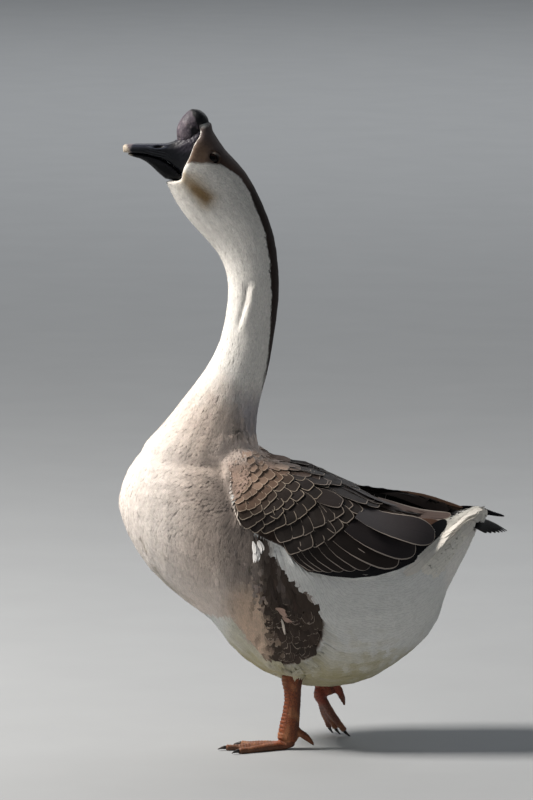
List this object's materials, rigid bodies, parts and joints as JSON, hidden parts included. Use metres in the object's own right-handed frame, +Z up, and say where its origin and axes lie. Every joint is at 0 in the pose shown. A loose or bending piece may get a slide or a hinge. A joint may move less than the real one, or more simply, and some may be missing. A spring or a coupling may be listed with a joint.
{
  "type": "domestic goose",
  "caption": "Life-size standing goose with a stretched-up neck, a knobbed bill, folded wings and one foot just lifted onto its toe tips.",
  "frame": {"origin": "on the floor, half way from the breast to the tail tips, in the mid plane", "axes": "+Z up from the floor, -Y the way the goose looks, +X toward its left side"},
  "size_m": [0.199, 0.467, 0.766],
  "materials": {
    "breast": "matt feathers",
    "neck": "matt feathers",
    "wing": "matt feathers",
    "quill": "satin flight feathers",
    "bill": "glossy horn",
    "eye": "wet and glossy",
    "leg": "scaly skin",
    "claw": "horn"
  },
  "bodies": {
    "root": {"trunk": "breast", "thigh_left": "breast", "thigh_right": "breast", "neck_lower": "neck", "neck_middle": "neck", "neck_upper": "neck", "head": "neck", "wing_left": "wing", "wing_right": "wing", "primaries_left": "quill", "primaries_right": "quill", "tail": "quill", "knob": "bill", "bill_upper": "bill", "bill_lower": "bill", "eye_left": "eye", "eye_right": "eye", "shank_left": "leg", "shank_right": "leg", "foot_left": "leg", "foot_right": "leg", "claw_inner_left": "claw", "claw_middle_left": "claw", "claw_outer_left": "claw", "claw_inner_right": "claw", "claw_middle_right": "claw", "claw_outer_right": "claw"}
  },
  "joints": []
}
